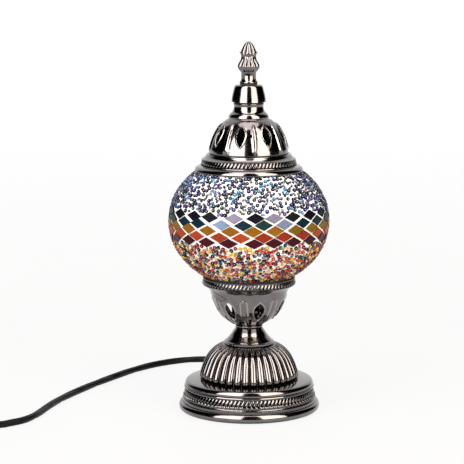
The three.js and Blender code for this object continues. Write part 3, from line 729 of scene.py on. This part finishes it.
def globeLine(sunk, lowRadius, highRadius, count):
    a, b = globe["radius"] - sunk, globe["half"] - sunk
    low, high = -math.acos(lowRadius / a), math.acos(highRadius / a)
    angles = [low + (high - low) * i / count for i in range(count + 1)]
    return [(a * math.cos(t), globe["z"] + b * math.sin(t)) for t in angles]


bm = bmesh.new()
skin = globeLine(globe["groutSunk"], 36.9, 41.5, 60) + globeLine(globe["skin"], 37, 41.3, 20)[::-1]
turn(bm, skin, 128)
finishPiece("grout", bm, "globe", grout, ["mosaic_skin"])


# Where the globe's face is at a height, and which way it faces, for a turn measured from the front.
def onGlobe(turnAngle, z, sunk):
    b = globe["half"] - sunk
    rise = (z - globe["z"]) / b
    r = (globe["radius"] - sunk) * math.sqrt(max(1 - rise * rise, 0))
    place = Vector((r * math.sin(turnAngle), -r * math.cos(turnAngle), z))
    across = (z - globe["z"]) / b ** 2
    outward = Vector((place.x / globe["radius"] ** 2, place.y / globe["radius"] ** 2, across)).normalized()
    return place, outward


small = Matrix.Scale(millimetre, 4)


# The turn that stands a small piece on the globe's face, its own Z outwards.
def standing(outward):
    across = Vector((0, 0, 1)).cross(outward).normalized()
    return Matrix((across, outward.cross(across), outward)).transposed().to_4x4()


# Copies one small mesh to many places, and gives each copy a colour of its own.
def scatter(name, template, places, colours, attributeName, material):
    bm = bmesh.new()
    for place in places:
        copy = template.copy()
        copy.transform(place)
        bm.from_mesh(copy)
        bpy.data.meshes.remove(copy)
    mesh = bpy.data.meshes.new(name)
    bm.to_mesh(mesh)
    bm.free()
    attribute = mesh.attributes.new(attributeName, "FLOAT_COLOR", "POINT")
    attribute.data.foreach_set("color", np.array(colours, np.float32).ravel())
    mesh.materials.append(material)
    piece = bpy.data.objects.new(name, mesh)
    bpy.context.scene.collection.objects.link(piece)
    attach(piece, "globe")
    print("made", name, len(mesh.polygons), "faces")


tiles = {"perRow": 22, "long": 15.3, "tall": 8.5, "thick": 1.7, "bevel": 0.3, "sunk": 0.1,
         "slack": 0.15, "leanAlong": 0.025, "leanUp": 0.02, "longer": (0.97, 1.01), "taller": (0.96, 1.02),
         "paleShare": 0.12}
# The front tiles of each row stand where the maker's hand set them, in degrees; the rest are evenly spaced.
# An odd tile, at about its turn, has a colour that the rest of its row doesn't.
tileRows = [
    {"z": 165.9, "front": [-60, -43.5, -29.5, -11, 4.2, 17.7, 32.7, 49, 65.3],
     "colours": ["#0d0d1c", "#0a0a12", "#121024", "#0c0c14"],
     "odd": {-11: "#8a839c", 18: "#7f788f", 49: "#100f1c"}},
    {"z": 160.7, "front": [-53.2, -39, -20, -4.4, 10, 25.3, 41.2, 57],
     "colours": ["#0a2a3a", "#0c3040", "#0a2530", "#0f3438"], "odd": {-20: "#8095b8", 25: "#74809c"}},
    {"z": 155.9, "front": [-64.5, -48, -30.7, -13.4, 2.5, 18.1, 34.3, 50.2, 66],
     "colours": ["#83640a", "#92600f", "#7a5c0a", "#8f5d10"], "odd": {}},
    {"z": 151.1, "front": [-57.8, -40.4, -21.8, -6.1, 10, 25.2, 41.4, 57.6],
     "colours": ["#a03c20", "#a8401c", "#983018", "#b04420"], "odd": {}},
    {"z": 146.5, "front": [-65, -49, -32.1, -15.1, 3.3, 17.7, 33, 49, 65],
     "colours": ["#3c0c18", "#48101e", "#40101c", "#4c1220"], "odd": {}},
]
bm = bmesh.new()
bmesh.ops.create_circle(bm, cap_ends=True, segments=4, radius=1)
bmesh.ops.scale(bm, vec=(tiles["long"] / 2, tiles["tall"] / 2, 1), verts=bm.verts)
grown = bmesh.ops.extrude_face_region(bm, geom=bm.faces[:])["geom"]
topVerts = [g for g in grown if isinstance(g, bmesh.types.BMVert)]
bmesh.ops.translate(bm, vec=(0, 0, tiles["thick"]), verts=topVerts)
topEdges = [edge for edge in bm.edges if all(vert in topVerts for vert in edge.verts)]
ease(bm, topEdges, tiles["bevel"])
bmesh.ops.recalc_face_normals(bm, faces=bm.faces)
tileMesh = bpy.data.meshes.new("tile_template")
bm.to_mesh(tileMesh)
bm.free()

paleColours = ["#9a93a8", "#93a9c9", "#6d6a80"]  # a few tiles of the two upper rows, at the back
draw = random.Random(21)
tilePlaces, tileColours = [], []
for row in tileRows:
    behind = tiles["perRow"] - len(row["front"])
    room = 360 + row["front"][0] - row["front"][-1]
    row["turns"] = row["front"] + [row["front"][-1] + room * (i + 1) / (behind + 1) for i in range(behind)]
    for degrees in row["turns"]:
        degrees = (degrees + 180) % 360 - 180
        height = row["z"] + draw.uniform(-tiles["slack"], tiles["slack"])
        place, outward = onGlobe(math.radians(degrees), height, tiles["sunk"] + tiles["thick"])
        lean = Matrix.Rotation(draw.uniform(-tiles["leanAlong"], tiles["leanAlong"]), 4, "X")
        lean = lean @ Matrix.Rotation(draw.uniform(-tiles["leanUp"], tiles["leanUp"]), 4, "Y")
        size = Matrix.Diagonal((draw.uniform(*tiles["longer"]), draw.uniform(*tiles["taller"]), 1, 1))
        tilePlaces.append(small @ Matrix.Translation(place) @ standing(outward) @ lean @ size)
        near = [colour for angle, colour in row["odd"].items() if abs(degrees - angle) < 4]
        colour = near[0] if near else draw.choice(row["colours"])
        if not near and abs(degrees) > 90 and draw.random() < tiles["paleShare"]:
            colour = draw.choice(paleColours) if row["z"] > 160 else colour
        tileColours.append([linear(colour)] * len(tileMesh.vertices))
scatter("tiles", tileMesh, tilePlaces, tileColours, "chipColour", chipGlass)

# Seed beads are strewn on the wet grout, which fills their holes: half stand on end, half lie on their side.
beads = {"hole": 0.56, "apart": 2.8, "tries": 60000, "sides": 10, "onEnd": 0.52, "sink": 0.15, "tilt": 0.22,
         "fromTiles": 0.9, "grown": (0.92, 1.06), "clearness": (0.1, 0.7), "upperBand": (163, 196.9),
         "lowerBand": (112.2, 149)}
beadSection = [(0, -0.7), (1.15, -1.05), (1.66, -0.65), (1.66, 0.65), (1.25, 1.05), (beads["hole"], 0.92),
               (0, 0.7)]
bm = bmesh.new()
turn(bm, beadSection, beads["sides"])
bmesh.ops.recalc_face_normals(bm, faces=bm.faces)
for face in bm.faces:
    face.smooth = True
beadMesh = bpy.data.meshes.new("bead_template")
bm.to_mesh(beadMesh)
bm.free()

# Each colour with its weight when a bead is drawn.
upperColours = {"#0a0722": 24, "#160b50": 20, "#20125f": 12, "#06060a": 14, "#2f6f98": 10, "#113a66": 7,
                "#2c3a52": 7, "#04242f": 6}
lowerColours = {"#1c0406": 17, "#7a0a0e": 16, "#3a060b": 9, "#b03c0a": 16, "#c29c0c": 16, "#8c2007": 9,
                "#0b3050": 8, "#8a7f68": 6, "#256058": 2}
groutWhite = np.array(linear("#e6e4e2"))
beadPoints = np.array([v.co for v in beadMesh.vertices])
fromHole = np.hypot(beadPoints[:, 0], beadPoints[:, 1])


# The colour at each point of one bead: grout in its hole, or a pale line along its side, where light comes
# through.
def beadShades(colour, settle, outward, onEnd, clearness):
    own = np.array(colour)
    made = np.tile(own, (len(beadPoints), 1))
    if onEnd:
        made[fromHole < 0.9 * beads["hole"]] = groutWhite
    else:
        flat = beadPoints * (1, 1, 0) / np.maximum(fromHole, 0.01)[:, None]
        facing = (flat @ np.array(settle.to_3x3()).T) @ np.array(outward)
        light = np.clip((facing - 0.76) / 0.24, 0, 1)[:, None] * clearness
        made = made * (1 - light) + (own * 0.35 + groutWhite * 0.65) * light
    made[:, 3] = 1
    return made


# How far a spot is above (or below) the zigzag edge of the tiles' band.
def clearOfTiles(degrees, z, row, side, margin=1.2, meanRadius=64):
    nearest = min(abs((degrees - centre + 180) % 360 - 180) for centre in row["turns"])
    offset = nearest / 180 * math.pi * meanRadius
    edge = row["z"] + side * (tiles["tall"] / 2 * max(1 - offset / (tiles["long"] / 2), 0) + margin)
    return side * (z - edge)


# Beads strewn over a band of heights, up to the nearest row of tiles, which is below (1) or above (-1) them.
def strewBeads(name, band, row, side, palette, seed):
    draw = random.Random(seed)
    taken = np.zeros((0, 3))
    places, colours = [], []
    for i in range(beads["tries"]):
        z = draw.uniform(*band)
        turnAngle = draw.uniform(-math.pi, math.pi)
        # a ring near the pole is shorter, so fewer of its tries are kept
        place, outward = onGlobe(turnAngle, z, globe["groutSunk"])
        if draw.random() > math.hypot(place.x, place.y) / globe["radius"]:
            continue
        if clearOfTiles(math.degrees(turnAngle), z, row, side) < beads["fromTiles"]:
            continue
        spot = np.array(place)
        if len(taken) and ((taken - spot) ** 2).sum(1).min() < beads["apart"] ** 2:
            continue
        taken = np.vstack([taken, spot])
        onEnd = draw.random() < beads["onEnd"]
        tilt = Matrix.Rotation(draw.gauss(0, beads["tilt"]), 4, "X")
        tilt = tilt @ Matrix.Rotation(draw.gauss(0, beads["tilt"]), 4, "Y")
        if not onEnd:
            onSide = Matrix.Rotation(math.pi / 2, 4, "X")
            tilt = Matrix.Rotation(draw.uniform(0, math.pi), 4, "Z") @ onSide @ tilt
        settle = standing(outward) @ tilt
        out = beads["sink"] if onEnd else -beads["sink"]
        grow = Matrix.Scale(draw.uniform(*beads["grown"]), 4)
        places.append(small @ Matrix.Translation(place + outward * out) @ settle @ grow)
        colour = linear(draw.choices(list(palette), list(palette.values()))[0])
        colours.append(beadShades(colour, settle, outward, onEnd, draw.uniform(*beads["clearness"])))
    scatter(name, beadMesh, places, colours, "beadColour", seedGlass)
    print(len(places), "beads")


strewBeads("beads_upper", beads["upperBand"], tileRows[0], 1, upperColours, 5)
strewBeads("beads_lower", beads["lowerBand"], tileRows[-1], -1, lowerColours, 8)


# Cord: out of the foot, in loose curves over the table, through the switch and round the coil to the plug.
rest = 2.85  # the cord's middle when it lies on the table
runRoute = [(0, 79, 9.8), (0, 83, 9.7), (0, 89, 8.4), (0, 97, 5.6), (-0.3, 107, 3.5), (-1.4, 120, rest),
            (-4.6, 135, rest), (-11, 150, rest), (-22, 163, rest), (-36, 170.6, rest), (-50, 170.6, rest),
            (-63, 165.6, rest), (-76, 157, rest), (-89, 144.6, rest), (-104.4, 124, rest), (-118, 101, rest),
            (-130.6, 78, rest), (-142, 55, rest), (-151.8, 33, rest), (-158.6, 15, rest), (-164.4, -4, rest),
            (-169.4, -24, rest), (-174.2, -39, rest), (-181, -50.6, rest), (-189, -58, rest),
            (-197, -64.2, 3), (-203.6, -68.4, 5.4), (-209, -70.6, 7.8), (-213.2, -71, 8.3),
            (-228, -71, 8.3), (-243, -71, 8.3), (-258, -71, 8.3)]
linkRoute = [(-272.9, -71, 8.3), (-277, -70.8, 7.7), (-283, -69.4, 5), (-289.6, -66, 3.1), (-295, -62, rest),
             (-301.6, -53, rest), (-304, -42, rest), (-302.6, -30, rest), (-298.6, -18, rest),
             (-295.2, -7, rest), (-293.2, 4, rest)]
tailRoute = [(-293, 22, 8.2), (-294.2, 32, 7.9), (-295.4, 42, 7.4), (-296.2, 50, 7), (-296.4, 57, 6.8),
             (-296.5, 68, 6.7)]
coil = {"x": -256, "y": 12, "mean": 30.8, "pitch": 5.7, "turns": 6, "perTurn": 32, "shift": 0.74,
        "climbIn": 2.3, "columns": [1, 0, -1, -1, 0, 1, 1], "layers": [0, 0, 0, 1, 1, 1, 1]}


# Three turns side by side on the table, stepping inwards, and three more on top of them, stepping out again.
def coilRoute():
    made = []
    columns, layers = coil["columns"], coil["layers"]
    for i in range(coil["turns"] * coil["perTurn"] + 1):
        turnIndex, part = divmod(i / coil["perTurn"], 1)
        turnIndex = int(turnIndex)
        if turnIndex == coil["turns"]:
            turnIndex, part = coil["turns"] - 1, 1
        step = min(max((part - coil["shift"]) / (1 - coil["shift"]), 0), 1)
        step = step * step * (3 - 2 * step)
        column = columns[turnIndex] + (columns[turnIndex + 1] - columns[turnIndex]) * step
        layer = layers[turnIndex] + (layers[turnIndex + 1] - layers[turnIndex]) * step
        radius = coil["mean"] + coil["pitch"] * column
        if layers[turnIndex] != layers[turnIndex + 1]:
            radius -= coil["climbIn"] * math.sin(math.pi * step)
        angle = math.pi - 2 * math.pi * part
        height = rest + coil["pitch"] * layer
        made.append((coil["x"] + radius * math.cos(angle), coil["y"] + radius * math.sin(angle), height))
    return made


cord = {"radius": 2.8, "groove": 0.5, "grooveWidth": 0.3, "sides": 16, "step": 2.8, "twistPitch": 120,
        "declared": 1.8, "fineSteps": 1400}
fine = np.array(flowing(runRoute + linkRoute + coilRoute() + tailRoute, cord["fineSteps"]))
along = np.concatenate([[0], np.cumsum(np.linalg.norm(np.diff(fine, axis=0), axis=1))])
cordLength = float(along[-1])
count = int(cordLength / cord["step"])
marks = np.linspace(0, cordLength, count + 1)
path = np.column_stack([np.interp(marks, along, fine[:, k]) for k in range(3)])
print("cord is", round(cordLength / 1000, 3), "m long")

# Twin-core flex: a round section with two shallow grooves, which turns slowly along the cord.
bm = bmesh.new()
circle = bmesh.ops.create_circle(bm, cap_ends=False, segments=cord["sides"], radius=cord["radius"])
ringVerts = circle["verts"]
for vert in ringVerts:
    angle = math.atan2(vert.co.y, vert.co.x)
    vert.co *= 1 - cord["groove"] / cord["radius"] * math.exp(-(math.cos(angle) / cord["grooveWidth"]) ** 2)
ahead = Vector(path[1] - path[0]).normalized()
sideways = ahead.cross(Vector((0, 0, 1))).normalized()
frames = []
for i in range(count + 1):
    now = Vector(path[min(i + 1, count)] - path[max(i - 1, 0)]).normalized()
    sideways = (sideways - now * sideways.dot(now)).normalized()
    over = now.cross(sideways)
    twist = Matrix.Rotation(2 * math.pi * marks[i] / cord["twistPitch"], 4, "Z")
    basis = Matrix((sideways, over, now)).transposed().to_4x4()
    frames.append(Matrix.Translation(Vector(path[i])) @ basis @ twist)
bmesh.ops.transform(bm, matrix=frames[0], verts=ringVerts)
ringEdges = bm.edges[:]
for previous, current in zip(frames, frames[1:]):
    grown = bmesh.ops.extrude_edge_only(bm, edges=ringEdges)["geom"]
    ringEdges = [g for g in grown if isinstance(g, bmesh.types.BMEdge) and all(v in grown for v in g.verts)]
    newVerts = [g for g in grown if isinstance(g, bmesh.types.BMVert)]
    bmesh.ops.transform(bm, matrix=current @ previous.inverted(), verts=newVerts)
bmesh.ops.holes_fill(bm, edges=[edge for edge in bm.edges if edge.is_boundary], sides=0)
replaced = ["cord_run", "cord_link", "cord_tail", "cord_coil"]
cordPiece = finishPiece("mains_cord", bm, "base", cordVinyl, replaced, 60)


# Finishes on the CAD nodes that stay.
nodeFinishes = {
    "base_felt": felt, "base_cover": zincSteel, "base_weight": castIron, "bottom_washer": zincSteel,
    "bottom_nut": brass, "threaded_tube": zincSteel, "glass_globe": globeGlass, "globe_gasket": rubber,
    "cap_gasket": rubber, "finial_washer": fibre, "lampholder": phenolic, "lampholder_shell": brass,
    "lampholder_contact": brass, "lead_live": cordVinyl, "lead_neutral": cordVinyl, "bulb_tip": phenolic,
    "bulb_cap": zincSteel, "bulb_glass": bulbGlass, "bulb_filament": brass, "harp": zincSteel,
    "top_stud": zincSteel, "stud_nut_lower": brass, "stud_nut_upper": brass, "cup_washer": zincSteel,
    "holder_nut": brass, "cord_inner": cordVinyl, "cord_sleeve": rubber, "cord_clamp": phenolic,
    "coil_tie": rubber, "switch_base": phenolic, "switch_cover": phenolic, "switch_rocker": phenolic,
    "plug_body": phenolic, "plug_pin_left": brass, "plug_pin_right": brass,
}
for name, material in nodeFinishes.items():
    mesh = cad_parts[name].data
    mesh.materials.clear()
    mesh.materials.append(material)
print("finishes given to", len(nodeFinishes), "CAD nodes")
